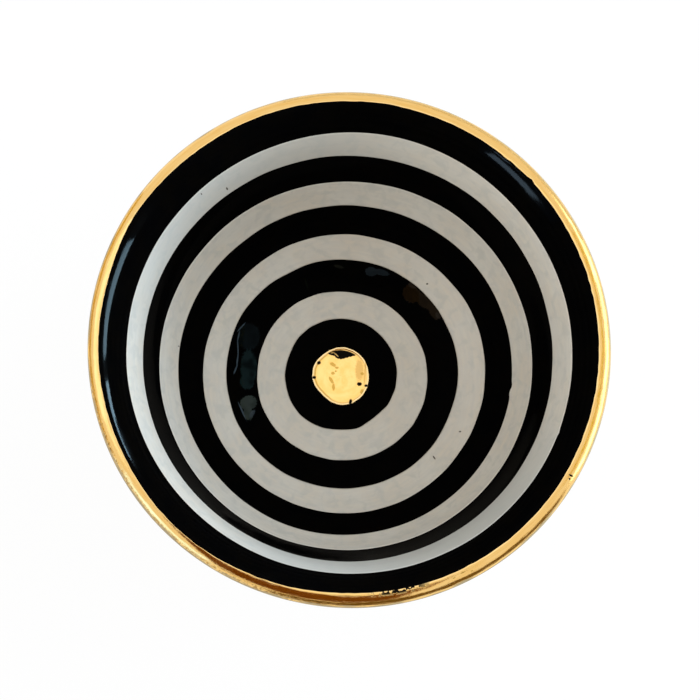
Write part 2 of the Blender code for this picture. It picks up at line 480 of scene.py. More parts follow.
@dataclass(frozen=True)
class Section:
    """The section of one coat, drawn flat: place along the outline across, height above the outline up.

    Its top rises over a round shoulder at each edge, with a bead along the edge and a valley inside the bead.
    The tuck is how far it runs on under its neighbours, and the depth how far its bottom lies under the
    outline.
    """

    start: float
    end: float
    rise: float
    shoulder: float
    depth: float = 0.35 * MM
    tuck: float = 0.0
    bead: float = 0.0
    bead_width: float = 0.3 * MM
    valley: float = 0.0
    stations: int = 44

    def heights(self, places: np.ndarray) -> np.ndarray:
        """Find the top's height: rounded shoulders, with a bead and a valley inside each.

        Args:
            places: Places on the coat.

        Returns:
            The height above the outline at each place.
        """
        from_edge = np.minimum(places - self.start, self.end - places)
        if self.start == 0.0:
            from_edge = self.end - places
        inside = np.clip(from_edge / self.shoulder, 0.0, 1.0)
        top = self.rise * np.sqrt(1 - (1 - inside) ** 2)
        bead = self.bead * np.exp(-((from_edge - self.bead_width / 2) / (self.bead_width / 2)) ** 2)
        valley = self.valley * np.exp(-((from_edge - self.bead_width * 1.5) / (self.bead_width / 2)) ** 2)
        return top + bead * inside - valley

    def outline(self) -> np.ndarray:
        """Draw the section.

        Returns:
            Points as (place, height), along the top and back along the bottom. A coat that starts in the
            middle of the floor starts and ends on the axis.
        """
        first = self.start - self.tuck if self.start > 0 else 0.0
        last = self.end + self.tuck
        top_places = close_to_edges(first, last, self.stations)
        if self.start == 0.0:
            top_places = last * np.sin(np.linspace(0, math.pi / 2, self.stations))
        inner = np.clip(top_places, self.start, self.end)
        top = np.column_stack((top_places, self.heights(inner)))
        bottom_places = np.linspace(last, first, max(6, self.stations // 3))
        bottom = np.column_stack((bottom_places, np.full(len(bottom_places), -self.depth)))
        return np.vstack((top, bottom))


# Finishes


class Nodes:
    """A node tree, filled by short calls."""

    def __init__(self, tree: bpy.types.NodeTree) -> None:
        """Keep the tree and empty it."""
        self.tree = tree
        tree.nodes.clear()

    def add(self, kind: str, inputs: dict[int | str, Any] | None = None, **settings: Any) -> bpy.types.Node:
        """Add a node.

        Args:
            kind: Its type name.
            inputs: Values, or other nodes' outputs, by the name or number of the input.
            **settings: Options of the node.

        Returns:
            The node.
        """
        node = self.tree.nodes.new(kind)
        for name, value in settings.items():
            setattr(node, name, value)
        self.fill(node, inputs or {})
        return node

    def fill(self, node: bpy.types.Node, inputs: dict[int | str, Any]) -> None:
        """Set or link a node's inputs.

        Args:
            node: The node.
            inputs: Values, or other nodes' outputs, by the name or number of the input.
        """
        for key, value in inputs.items():
            if isinstance(value, bpy.types.NodeSocket):
                self.tree.links.new(value, node.inputs[key])
            else:
                node.inputs[key].default_value = value

    def math(self, operation: str, *values: Value) -> Socket:
        """Return the output of a Math node on these values."""
        return self.add("ShaderNodeMath", dict(enumerate(values)), operation=operation).outputs[0]

    def vector(self, operation: str, *vectors: Socket | Rgb) -> bpy.types.Node:
        """Return a Vector Math node on these vectors."""
        return self.add("ShaderNodeVectorMath", dict(enumerate(vectors)), operation=operation)

    def mix(self, factor: Value, first: Socket | Rgba, second: Socket | Rgba) -> Socket:
        """Return the mix of two colours."""
        node = self.add("ShaderNodeMix", {0: factor, 6: first, 7: second}, data_type="RGBA")
        return node.outputs[2]

    def ramp(self, value: Socket, low: Value, high: Value, to_low: float = 0.0,
             to_high: float = 1.0) -> Socket:
        """Return a value carried from one range to another by a soft step."""
        inputs = {0: value, 1: low, 2: high, 3: to_low, 4: to_high}
        return self.add("ShaderNodeMapRange", inputs, interpolation_type="SMOOTHSTEP").outputs[0]

    def noise(self, vector: Socket, scale: Value, detail: float = 2.0, **shape: float) -> Socket:
        """Return the value of a Noise Texture."""
        inputs = {"Vector": vector, "Scale": scale, "Detail": detail, **shape}
        return self.add("ShaderNodeTexNoise", inputs).outputs["Fac"]

    def plan(self, vector: Socket) -> Socket:
        """Return a vector with its height left out."""
        parts = self.add("ShaderNodeSeparateXYZ", {0: vector}).outputs
        return self.add("ShaderNodeCombineXYZ", {0: parts[0], 1: parts[1]}).outputs[0]

    def group(self, tree: bpy.types.NodeTree, **inputs: Any) -> Socket:
        """Return the output of a node group on these inputs, named with _ for each space."""
        named = {name.replace("_", " "): value for name, value in inputs.items()}
        return self.add("ShaderNodeGroup", named, node_tree=tree).outputs[0]


class Group(Nodes):
    """A shader node group with named inputs and one output."""

    def __init__(self, name: str, output: str, output_type: str, **inputs: tuple[str, float | None]) -> None:
        """Start the group.

        Args:
            name: Its name.
            output: Its output's name.
            output_type: Its output's socket type.
            **inputs: Each input's socket type and starting value, named with _ for each space.
        """
        tree = bpy.data.node_groups.new(name, "ShaderNodeTree")
        for key, (input_type, value) in inputs.items():
            socket = tree.interface.new_socket(key.replace("_", " "), in_out="INPUT", socket_type=input_type)
            if value is not None:
                socket.default_value = value
        tree.interface.new_socket(output, in_out="OUTPUT", socket_type=output_type)
        super().__init__(tree)
        self.given = self.add("NodeGroupInput").outputs
        self.result = self.add("NodeGroupOutput")

    def end(self, value: Socket) -> bpy.types.NodeTree:
        """Put out a value and return the group's tree."""
        self.tree.links.new(value, self.result.inputs[0])
        return self.tree


class Effects:
    """The effects that several finishes share, each a node group made once."""

    def __init__(self) -> None:
        """Make the groups."""
        self.mottle = self.make_mottle()
        self.mark = self.make_mark()
        self.specks = self.make_specks()
        self.waves = self.make_waves()
        self.strokes = self.make_strokes()
        self.sector = self.make_sector()

    def make_mottle(self) -> bpy.types.NodeTree:
        """Make the group that clouds a base colour with two others.

        Returns:
            The group.
        """
        group = Group("colour_mottle", "Color", COLOR, Vector=(VECTOR, None), Base=(COLOR, None),
                      Second=(COLOR, None), Third=(COLOR, None), Scale=(FLOAT, 200.0), Amount=(FLOAT, 0.5))
        given = group.given
        finer_scale = group.math("MULTIPLY", given["Scale"], 2.7)
        large = group.noise(given["Vector"], given["Scale"], 4.0, Roughness=0.6)
        small = group.noise(given["Vector"], finer_scale, 3.0, Distortion=0.6)
        first = group.math("MULTIPLY", group.ramp(large, 0.35, 0.65), given["Amount"])
        second = group.math("MULTIPLY", group.ramp(small, 0.45, 0.7), given["Amount"])
        clouded = group.mix(first, given["Base"], given["Second"])
        return group.end(group.mix(second, clouded, given["Third"]))

    def make_mark(self) -> bpy.types.NodeTree:
        """Make the group for one small oval mark, placed and turned in plan.

        Returns:
            The group.
        """
        group = Group("placed_mark", "Mask", FLOAT, Vector=(VECTOR, None), Centre=(VECTOR, None),
                      Turn=(FLOAT, 0.0), Length=(FLOAT, 0.001), Width=(FLOAT, 0.001), Ragged=(FLOAT, 0.3),
                      Soft=(FLOAT, 0.125))
        given = group.given
        offset = group.vector("SUBTRACT", given["Vector"], given["Centre"]).outputs[0]
        turned = group.add("ShaderNodeVectorRotate", {"Vector": offset, "Angle": given["Turn"]},
                           rotation_type="Z_AXIS").outputs[0]
        parts = group.add("ShaderNodeSeparateXYZ", {0: turned}).outputs
        along = group.math("POWER", group.math("DIVIDE", parts[0], given["Length"]), 2.0)
        across = group.math("POWER", group.math("DIVIDE", parts[1], given["Width"]), 2.0)
        far = group.math("SQRT", group.math("ADD", along, across))
        noise = group.noise(given["Vector"], 2500.0)
        rough = group.math("MULTIPLY", group.math("SUBTRACT", noise, 0.5), given["Ragged"])
        nearest = group.math("SUBTRACT", MARK_EDGE, given["Soft"])
        furthest = group.math("ADD", MARK_EDGE, given["Soft"])
        return group.end(group.ramp(group.math("ADD", far, rough), nearest, furthest, 1.0, 0.0))

    def make_specks(self) -> bpy.types.NodeTree:
        """Make the group for a few small round specks or pinholes, scattered by chance.

        Returns:
            The group.
        """
        group = Group("scattered_specks", "Mask", FLOAT, Vector=(VECTOR, None), Scale=(FLOAT, 300.0),
                      Share=(FLOAT, 0.1), Size=(FLOAT, 0.15))
        given = group.given
        cells = group.add("ShaderNodeTexVoronoi", {"Vector": given["Vector"], "Scale": given["Scale"]})
        colour = group.add("ShaderNodeSeparateColor", {0: cells.outputs["Color"]}).outputs
        chosen = group.math("LESS_THAN", colour[0], given["Share"])
        size = group.math("MULTIPLY", group.math("ADD", colour[1], 0.3), given["Size"])
        near = group.math("DIVIDE", cells.outputs["Distance"], size)
        return group.end(group.math("MULTIPLY", group.ramp(near, 0.6, 1.0, 1.0, 0.0), chosen))

    def make_waves(self) -> bpy.types.NodeTree:
        """Make the group for a glaze's slow waves and its finer pitted skin.

        Returns:
            The group.
        """
        group = Group("glaze_waves", "Height", FLOAT, Vector=(VECTOR, None), Scale=(FLOAT, 120.0),
                      Skin_Scale=(FLOAT, 1500.0), Skin=(FLOAT, 0.1))
        given = group.given
        slow = group.noise(given["Vector"], given["Scale"], 1.5, Distortion=0.3)
        skin = group.noise(given["Vector"], given["Skin Scale"], 1.0)
        return group.end(group.math("ADD", slow, group.math("MULTIPLY", skin, given["Skin"])))

    def make_strokes(self) -> bpy.types.NodeTree:
        """Make the group for strokes that a brush leaves along a ring.

        Returns:
            The group.
        """
        group = Group("brush_strokes", "Mask", FLOAT, Vector=(VECTOR, None), Place=(FLOAT, 0.0),
                      Length=(FLOAT, 8.0), Fineness=(FLOAT, 3.0))
        given = group.given
        around = group.vector("NORMALIZE", group.plan(given["Vector"])).outputs[0]
        ring = group.vector("SCALE", around)
        group.fill(ring, {"Scale": given["Length"]})
        fine = group.math("MULTIPLY", given["Place"], given["Fineness"])
        across = group.add("ShaderNodeCombineXYZ", {2: fine}).outputs[0]
        place = group.vector("ADD", ring.outputs[0], across).outputs[0]
        return group.end(group.ramp(group.noise(place, 1.0, 3.0, Roughness=0.6), 0.3, 0.7))

    def make_sector(self) -> bpy.types.NodeTree:
        """Make the group for a stretch of a ring: the direction of its middle and the cosine of its reach.

        Returns:
            The group.
        """
        group = Group("ring_sector", "Mask", FLOAT, Vector=(VECTOR, None), Towards=(VECTOR, None),
                      Outer=(FLOAT, 0.8), Inner=(FLOAT, 0.95))
        given = group.given
        around = group.vector("NORMALIZE", group.plan(given["Vector"])).outputs[0]
        facing = group.vector("DOT_PRODUCT", around, given["Towards"]).outputs["Value"]
        return group.end(group.ramp(facing, given["Outer"], given["Inner"]))


@dataclass(frozen=True)
class Mark:
    """A mark at a place of its own: its X, Y and half sizes in millimetres, and its turn in degrees."""

    x: float
    y: float
    length: float
    width: float
    turn: float = 0.0
    soft: float = 0.125


class Surface(Nodes):
    """A material's nodes, with its shader, the shared effects and what tells a place on the surface."""

    def __init__(self, name: str, effects: Effects) -> None:
        """Start the material.

        Args:
            name: Its name.
            effects: The shared node groups.
        """
        self.material = bpy.data.materials.new(name)
        self.material.use_nodes = True
        super().__init__(self.material.node_tree)
        self.effects = effects
        self.shader = self.add("ShaderNodeBsdfPrincipled")
        self.add("ShaderNodeOutputMaterial", {"Surface": self.shader.outputs[0]})
        self.coordinates = self.add("ShaderNodeTexCoord").outputs["Object"]
        coat = self.add("ShaderNodeAttribute", attribute_name="coat_place", attribute_type="GEOMETRY")
        place = self.add("ShaderNodeSeparateXYZ", {0: coat.outputs["Vector"]}).outputs
        self.from_inner, self.from_outer, self.along = place[0], place[1], place[2]

    def effect(self, tree: bpy.types.NodeTree, **inputs: Any) -> Socket:
        """Return a shared effect, laid on the surface's own coordinates."""
        return self.group(tree, Vector=self.coordinates, **inputs)

    def grain(self, scale: float, detail: float = 2.0) -> Socket:
        """Return the value of a Noise Texture on the surface's own coordinates."""
        return self.noise(self.coordinates, scale, detail)

    def sector(self, middle: float, outer: float, inner: float) -> Socket:
        """Mask a stretch of a ring.

        Args:
            middle: The angle of its middle, in degrees from +X towards +Y.
            outer: How far from its middle it ends, in degrees.
            inner: How far from its middle it starts to fade, in degrees.

        Returns:
            The mask.
        """
        turn = math.radians(middle)
        return self.effect(self.effects.sector, Towards=(math.cos(turn), math.sin(turn), 0.0),
                           Outer=math.cos(math.radians(outer)), Inner=math.cos(math.radians(inner)))

    def marks(self, marks: tuple[Mark, ...]) -> Value:
        """Join the masks of several marks.

        Args:
            marks: The marks.

        Returns:
            The joined mask, or 0 where there are no marks.
        """
        if not marks:
            return 0.0
        plan = self.plan(self.coordinates)
        joined: Value = 0.0
        for mark in marks:
            mask = self.group(self.effects.mark, Vector=plan, Centre=(mark.x * MM, mark.y * MM, 0.0),
                              Turn=-math.radians(mark.turn), Length=mark.length * MM * 2,
                              Width=mark.width * MM * 2, Soft=mark.soft)
            joined = self.math("MAXIMUM", joined, mask)
        return joined

    def finish(self, colour: Socket, roughness: Socket, height: Socket, strength: float,
               distance: float = 0.12 * MM) -> bpy.types.Material:
        """Feed the shader what changes over the surface.

        Args:
            colour: The base colour.
            roughness: The roughness.
            height: The height that the bump follows.
            strength: How strong the bump is.
            distance: How high the bump is.

        Returns:
            The finished material.
        """
        bump = self.add("ShaderNodeBump", {"Height": height, "Strength": strength, "Distance": distance})
        self.fill(self.shader, {"Base Color": colour, "Roughness": roughness, "Normal": bump.outputs[0]})
        return self.material


@dataclass(frozen=True)
class Finish:
    """What every finish has: the record's slot, a name and the shared effects."""

    slot: ClassVar[Slot]
    name: str
    effects: Effects

    @cached_property
    def material(self) -> bpy.types.Material:
        """Return the finish's material, made when it is first asked for."""
        return self.make(Surface(self.name, self.effects))

    def make(self, surface: Surface) -> bpy.types.Material:
        """Stop, because each kind of finish makes its own material."""
        raise NotImplementedError(surface.material.name)


@dataclass(frozen=True)
class WhiteGlaze(Finish):
    """Milky white glaze, clouded beige and grey, brownish where it thins at its inner edge.

    Widths and places on the outline are in millimetres, and angles in degrees. Painted shade greys two
    sides of the rings from a place on the outline outward: each side has the angle of its middle and a
    strength.
    """

    slot: ClassVar[Slot] = Slot.WHITE
    base: Rgba = (0.605, 0.574, 0.505, 1.0)
    beige: Rgba = (0.605, 0.546, 0.455, 1.0)
    grey: Rgba = (0.505, 0.490, 0.437, 1.0)
    clouding: float = 0.8
    brushed: Rgba = (0.505, 0.490, 0.462, 1.0)
    brushing: float = 0.42
    # Painted shade: the grey laid on two sides of the upper rings.
    painted_shade: Rgba = (0.435, 0.445, 0.425, 1.0)
    painted_shade_from: float = 1000.0
    painted_shade_over: float = 4.0
    painted_shade_sides: tuple[tuple[float, float], ...] = ((287.0, 0.8), (122.0, 0.5))
    painted_shade_reach: tuple[float, float] = (62.0, 20.0)
    thin: Rgba = (0.36, 0.32, 0.26, 1.0)
    thin_width: float = 0.45
    thinness: float = 0.55
    flaw: Rgba = (0.10, 0.085, 0.07, 1.0)
    speck_strength: float = 0.4
    flaw_depth: float = 0.8
    roughness: tuple[float, float] = (0.12, 0.24)
    specular: float = 0.25
    marks: tuple[Mark, ...] = ()
    light_marks: tuple[Mark, ...] = ()
    light_mark: Rgba = (0.78, 0.76, 0.71, 1.0)

    def make(self, surface: Surface) -> bpy.types.Material:
        """Make the material.

        Args:
            surface: The started material.

        Returns:
            The material.
        """
        clouded = surface.effect(self.effects.mottle, Base=self.base, Second=self.beige, Third=self.grey,
                                 Scale=130.0, Amount=self.clouding)
        strokes = surface.effect(self.effects.strokes, Place=surface.along, Length=5.0, Fineness=1.1)
        clouded = surface.mix(surface.math("MULTIPLY", strokes, self.brushing), clouded, self.brushed)
        # Painted shade: two sides of the upper rings are greyed, standing in for weaker light falling there.
        side: Value = 0.0
        for middle, strength in self.painted_shade_sides:
            sector = surface.sector(middle, *self.painted_shade_reach)
            side = surface.math("MAXIMUM", side, surface.math("MULTIPLY", sector, strength))
        upper = surface.ramp(surface.along, self.painted_shade_from, self.painted_shade_from + self.painted_shade_over)
        clouded = surface.mix(surface.math("MULTIPLY", side, upper), clouded, self.painted_shade)
        thin = surface.ramp(surface.from_inner, 0.0, self.thin_width, self.thinness, 0.0)
        edged = surface.mix(thin, clouded, self.thin)
        specks = surface.effect(self.effects.specks, Scale=260.0, Share=0.035, Size=0.05)
        specks = surface.math("MULTIPLY", specks, self.speck_strength)
        flaws = surface.math("MAXIMUM", specks, surface.marks(self.marks))
        coloured = surface.mix(flaws, edged, self.flaw)
        coloured = surface.mix(surface.marks(self.light_marks), coloured, self.light_mark)
        rough = surface.ramp(surface.grain(180.0), 0.3, 0.7, *self.roughness)
        waves = surface.effect(self.effects.waves, Scale=110.0, Skin_Scale=1600.0, Skin=0.06)
        height = surface.math("SUBTRACT", waves, surface.math("MULTIPLY", flaws, self.flaw_depth))
        surface.fill(surface.shader, {"IOR": GLAZE_IOR, "Specular IOR Level": self.specular})
        return surface.finish(coloured, rough, height, 0.5)


@dataclass(frozen=True)
class ReflectionPatch:
    """A painted reflection on the black glaze: its outline as joined marks, its colour and how even it is."""

    marks: tuple[Mark, ...]
    cast: Rgba
    evenness: float = 0.6


@dataclass(frozen=True)
class BlackGlaze(Finish):
    """Deep black glaze with a wet gloss, and reflections painted on it, where it also gets a glossier coat.
    """

    slot: ClassVar[Slot] = Slot.BLACK
    base: Rgba = (0.0007, 0.0007, 0.0008, 1.0)
    warm: Rgba = (0.0014, 0.0011, 0.0008, 1.0)
    specular: float = 0.0025
    roughness: tuple[float, float] = (0.05, 0.11)
    reflection_patches: tuple[ReflectionPatch, ...] = ()
    reflection_gloss: float = 0.06

    def make(self, surface: Surface) -> bpy.types.Material:
        """Make the material.

        Args:
            surface: The started material.

        Returns:
            The material.
        """
        coloured = surface.effect(self.effects.mottle, Base=self.base, Second=self.warm, Third=self.base,
                                  Scale=160.0, Amount=0.7)
        reflection_mask: Value = 0.0
        for reflection_patch in self.reflection_patches:
            # Painted reflection: each patch's colour stands in for light that the glaze mirrors; the coat
            # weight below adds real gloss.
            streaks = surface.ramp(surface.grain(330.0, 1.0), 0.36, 0.6, reflection_patch.evenness, 1.0)
            mask = surface.math("MULTIPLY", surface.marks(reflection_patch.marks), streaks)
            coloured = surface.mix(mask, coloured, reflection_patch.cast)
            reflection_mask = surface.math("MAXIMUM", reflection_mask, mask)
        if self.reflection_patches:
            gloss = surface.math("MULTIPLY", reflection_mask, self.reflection_gloss)
            surface.fill(surface.shader, {"Coat Weight": gloss})
        rough = surface.ramp(surface.grain(140.0), 0.35, 0.65, *self.roughness)
        specks = surface.effect(self.effects.specks, Scale=300.0, Share=0.03, Size=0.05)
        waves = surface.effect(self.effects.waves, Scale=100.0, Skin_Scale=1200.0, Skin=0.04)
        surface.fill(surface.shader, {"IOR": GLAZE_IOR, "Specular IOR Level": self.specular})
        return surface.finish(coloured, rough, surface.math("SUBTRACT", waves, specks), 0.4)


@dataclass(frozen=True)
class GoldLustre(Finish):
    """Fired gold, brushed on: streaks of a deeper tone, a pale edge of painted highlight, a painted dark
    reflection along its foot, and bare spots where it missed.

    Widths and places on the outline are in millimetres.
    """

    slot: ClassVar[Slot] = Slot.GOLD
    light: Rgba = (0.98, 0.66, 0.25, 1.0)
    deep: Rgba = (0.94, 0.58, 0.18, 1.0)
    pale: Rgba = (1.0, 0.81, 0.48, 1.0)
    # Painted dark reflection along the gold's foot.
    painted_dark_reflection: Rgba = (0.38, 0.30, 0.17, 1.0)
    tan: Rgba = (0.70, 0.43, 0.13, 1.0)
    # The black glaze where the gold is bare, also used for the dot's painted dark reflection.
    bare_and_reflection: Rgba = (0.004, 0.003, 0.002, 1.0)
    rubbed_and_shade: Rgba = (0.48, 0.28, 0.04, 1.0)
    pitted: Rgba = (0.36, 0.19, 0.035, 1.0)
    rub_strength: float = 0.8
    pit_strength: float = 0.8
    dark_reflection_metal_cut: float = 0.85
    roughness: tuple[float, float] = (0.09, 0.17)
    specular: float = 0.02
    edge_highlight_width: float = 0.3
    edge_highlight: float = 0.25
    stroke_length: float = 9.0
    stroke_fineness: float = 1.9
    stroke_height: float = 0.35
    ridges: float = 0.08 * MM
    marks: tuple[Mark, ...] = ()
    rubs: tuple[Mark, ...] = ()
    tans: tuple[Mark, ...] = ()
    dark_reflection_from: float = 1000.0

    def from_edge(self, surface: Surface) -> Socket:
        """Return how far a place is from the edge that carries the painted highlight."""
        return surface.from_outer

    def rubbed_and_shaded_places(self, surface: Surface) -> Socket:
        """Mask the places that are rubbed darker, to which the dot adds a line of painted shade."""
        return surface.math("MULTIPLY", surface.marks(self.rubs), self.rub_strength)

    def bare_and_reflection_places(self, surface: Surface) -> Value:
        """Mask the places that the gold missed; the dot adds a painted dark reflection."""
        return surface.marks(self.marks)

    def pits(self, surface: Surface) -> Value:
        """Mask the pitted places, of which there are none here."""
        return 0.0

    def make(self, surface: Surface) -> bpy.types.Material:
        """Make the material.

        Args:
            surface: The started material.

        Returns:
            The material.
        """
        strokes = surface.effect(self.effects.strokes, Place=surface.along, Length=self.stroke_length,
                                 Fineness=self.stroke_fineness)
        gold = surface.mix(strokes, self.light, self.deep)
        # Painted highlight: a pale band along the edge stands in for the light that its bead mirrors.
        edge = surface.ramp(self.from_edge(surface), self.edge_highlight_width * 0.5, self.edge_highlight_width,
                            self.edge_highlight, 0.0)
        gold = surface.mix(edge, gold, self.pale)
        gold = surface.mix(surface.marks(self.tans), gold, self.tan)
        gold = surface.mix(self.rubbed_and_shaded_places(surface), gold, self.rubbed_and_shade)
        pits = self.pits(surface)
        gold = surface.mix(surface.math("MULTIPLY", pits, self.pit_strength), gold, self.pitted)
        # Painted dark reflection: a dull, darker strip along the gold's foot stands in for the shaded floor
        # mirrored there; the metal is cut there too.
        dark_reflection_strip = surface.ramp(surface.math("ADD", surface.along, strokes), self.dark_reflection_from + 0.3,
                            self.dark_reflection_from + 1.0)
        gold = surface.mix(dark_reflection_strip, gold, self.painted_dark_reflection)
        # Bare spots are real; on the dot this mask also holds a painted dark reflection, shown as bare black
        # glaze.
        bare_and_reflection = self.bare_and_reflection_places(surface)
        thin = surface.math("MAXIMUM", bare_and_reflection, surface.math("MULTIPLY", dark_reflection_strip, self.dark_reflection_metal_cut))
        surface.fill(surface.shader, {"Metallic": surface.math("SUBTRACT", 1.0, thin),
                                      "Specular IOR Level": self.specular})
        waves = surface.effect(self.effects.waves, Scale=260.0, Skin_Scale=2600.0, Skin=0.12)
        height = surface.math("ADD", waves, surface.math("MULTIPLY", strokes, self.stroke_height))
        height = surface.math("SUBTRACT", surface.math("SUBTRACT", height, bare_and_reflection), pits)
        return surface.finish(surface.mix(bare_and_reflection, gold, self.bare_and_reflection),
                              surface.ramp(strokes, 0.0, 1.0, *self.roughness), height, 0.5, self.ridges)


@dataclass(frozen=True)
class RimGold(GoldLustre):
    """The gold on the lip: a painted highlight at both edges, bare specks at its inner edge and pits in its
    outer half.

    A stretch is the angle of its middle, how far from there it ends and where it starts to fade, in degrees.
    A strip is where it fades across the coat, in millimetres from the inner edge, and a grain is the part of
    the noise over which its spots fade.
    """

    speck_stretch: tuple[float, float, float] = (281.0, 8.0, 3.0)
    speck_strip: tuple[float, float] = (0.5, 1.1)
    speck_grain: tuple[float, float] = (0.47, 0.54)
    pit_stretch: tuple[float, float, float] = (225.0, 44.0, 26.0)
    pit_strip: tuple[float, float] = (1.5, 2.3)
    pit_grain: tuple[float, float] = (0.48, 0.6)

    def from_edge(self, surface: Surface) -> Socket:
        """Return how far a place is from the nearer edge."""
        return surface.math("MINIMUM", surface.from_inner, surface.from_outer)

    def bare_and_reflection_places(self, surface: Surface) -> Socket:
        """Mask the nick, and the bare specks along the inner edge on the side towards the viewer.

        Args:
            surface: The started material.

        Returns:
            The mask.
        """
        strip = surface.ramp(surface.from_inner, *self.speck_strip, 1.0, 0.0)
        side = surface.math("MULTIPLY", surface.sector(*self.speck_stretch), strip)
        specks = surface.math("MULTIPLY", side, surface.ramp(surface.grain(1100.0), *self.speck_grain))
        return surface.math("MAXIMUM", surface.marks(self.marks), specks)

    def pits(self, surface: Surface) -> Socket:
        """Mask the sandy pits on the left and towards the viewer.

        Args:
            surface: The started material.

        Returns:
            The mask.
        """
        strip = surface.ramp(surface.from_inner, *self.pit_strip)
        side = surface.math("MULTIPLY", surface.sector(*self.pit_stretch), strip)
        return surface.math("MULTIPLY", side, surface.ramp(surface.grain(1500.0, 3.0), *self.pit_grain))


@dataclass(frozen=True)
class DotGold(GoldLustre):
    """The gold of the dot: a darker line of painted shade inside its bead, and a painted dark reflection at
    its far edge, shown as bare black glaze, with glints.

    The shade line's stretch is the angle of its middle, how far from there it ends and where it starts to
    fade, in degrees, and its two sides are where it fades, in millimetres from the edge. The painted
    reflection lies above a shallow V and inside a circle: each arm of the V has a slope and its height over
    the middle of the dot.
    """

    glints: tuple[Mark, ...] = ()
    glint_strength: float = 0.55
    shade_line_stretch: tuple[float, float, float] = (185.0, 78.0, 50.0)
    shade_line_outside: tuple[float, float] = (0.55, 0.72)
    shade_line_inside: tuple[float, float] = (0.85, 1.1)
    shade_line_strength: float = 0.7
    left_arm: tuple[float, float] = (-0.48, 4.1 * MM)
    right_arm: tuple[float, float] = (0.27, 4.32 * MM)
    arm_jitter: float = 0.7 * MM
    arm_edge: tuple[float, float] = (-0.08 * MM, 0.12 * MM)
    reflection_centre: tuple[float, float, float] = (-0.28 * MM, -0.08 * MM, 7.1 * MM)
    reflection_radius: tuple[float, float] = (6.65 * MM, 6.85 * MM)

    def rubbed_and_shaded_places(self, surface: Surface) -> Socket:
        """Mask the rubbed places and the painted shade line inside the bead, on the left.

        Args:
            surface: The started material.

        Returns:
            The mask.
        """
        # Painted shade: a darker line just inside the bead on the left side of the dot.
        outside = surface.ramp(surface.from_outer, *self.shade_line_outside)
        inside = surface.ramp(surface.from_outer, *self.shade_line_inside, self.shade_line_strength, 0.0)
        side = surface.sector(*self.shade_line_stretch)
        shade_line = surface.math("MULTIPLY", side, surface.math("MULTIPLY", outside, inside))
        return surface.math("MAXIMUM", super().rubbed_and_shaded_places(surface), shade_line)

    def bare_and_reflection_places(self, surface: Surface) -> Socket:
        """Mask the specks and the painted dark reflection: above a shallow V, inside the bead, with glints
        left in it.

        Args:
            surface: The started material.

        Returns:
            The mask.
        """
        # Painted reflection: the dark patch above the V stands in for a dark thing mirrored in the dot.
        jitter = surface.math("SUBTRACT", surface.grain(1400.0), 0.5)
        jitter = surface.math("MULTIPLY", jitter, self.arm_jitter)
        parts = surface.add("ShaderNodeSeparateXYZ", {0: surface.coordinates}).outputs
        arms = (self.left_arm, self.right_arm)
        left, right = (surface.math("ADD", surface.math("MULTIPLY", parts[0], slope), middle)
                       for slope, middle in arms)
        height = surface.math("ADD", parts[1], jitter)
        above = surface.math("SUBTRACT", height, surface.math("MAXIMUM", left, right))
        away = surface.vector("DISTANCE", surface.coordinates, self.reflection_centre).outputs["Value"]
        inside = surface.ramp(away, *self.reflection_radius, 1.0, 0.0)
        reflection_area = surface.math("MULTIPLY", surface.ramp(above, *self.arm_edge), inside)
        glints = surface.math("MULTIPLY", surface.marks(self.glints), self.glint_strength)
        painted_reflection = surface.math("MULTIPLY", reflection_area, surface.math("SUBTRACT", 1.0, glints))
        return surface.math("MAXIMUM", surface.marks(self.marks), painted_reflection)


@dataclass(frozen=True)
class BareClay(Finish):
    """Fired red clay, trimmed on the wheel: grainy and matt."""

    slot: ClassVar[Slot] = Slot.CLAY
    base: Rgba = (0.56, 0.34, 0.22, 1.0)
    pale: Rgba = (0.66, 0.44, 0.31, 1.0)
    dark: Rgba = (0.40, 0.22, 0.14, 1.0)
    grog_strength: float = 0.5
    roughness: tuple[float, float] = (0.7, 0.9)
    specular: float = 0.25

    def make(self, surface: Surface) -> bpy.types.Material:
        """Make the material.

        Args:
            surface: The started material.

        Returns:
            The material.
        """
        clouded = surface.effect(self.effects.mottle, Base=self.base, Second=self.pale, Third=self.dark,
                                 Scale=300.0, Amount=0.6)
        grog = surface.effect(self.effects.specks, Scale=1500.0, Share=0.2, Size=0.35)
        grog = surface.math("MULTIPLY", grog, self.grog_strength)
        grain = surface.grain(2200.0, 3.0)
        surface.fill(surface.shader, {"Specular IOR Level": self.specular})
        return surface.finish(surface.mix(grog, clouded, self.dark),
                              surface.ramp(grain, 0.3, 0.7, *self.roughness),
                              surface.math("SUBTRACT", grain, grog), 0.5)


def dress(piece: bpy.types.Object, finish: Finish, node: str) -> None:
    """Give a piece its finish and say what it is.

    Args:
        piece: The modelled piece.
        finish: Its finish.
        node: The CAD node that the piece stands for.
    """
    piece.data.materials.clear()
    piece.data.materials.append(finish.material)
    deselect_all()
    piece.select_set(True)
    bpy.context.view_layer.objects.active = piece
    bpy.ops.object.shade_smooth_by_angle(angle=SHARP_ANGLE)
    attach(piece, BODY)
    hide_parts(node)
    triangles = sum(len(polygon.vertices) - 2 for polygon in piece.data.polygons)
    LOG.info("%s: %d triangles, %s", piece.name, triangles, finish.slot.value)


def make_coat(bowl: Bowl, node: str, section: Section, finish: Finish, steps: int) -> bpy.types.Object:
    """Turn a coat from its section, lay it on the bowl and dress it.

    Args:
        bowl: The bowl.
        node: The CAD node that the coat stands for.
        section: Its section, drawn flat.
        finish: Its finish.
        steps: Facets round the turn.

    Returns:
        The finished coat.
    """
    piece = turn_section(node + "_coat", section.outline(), section.start > 0, steps)
    bowl.lay(piece)
    dress(piece, finish, node)
    return piece


# The dish's sub-assemblies


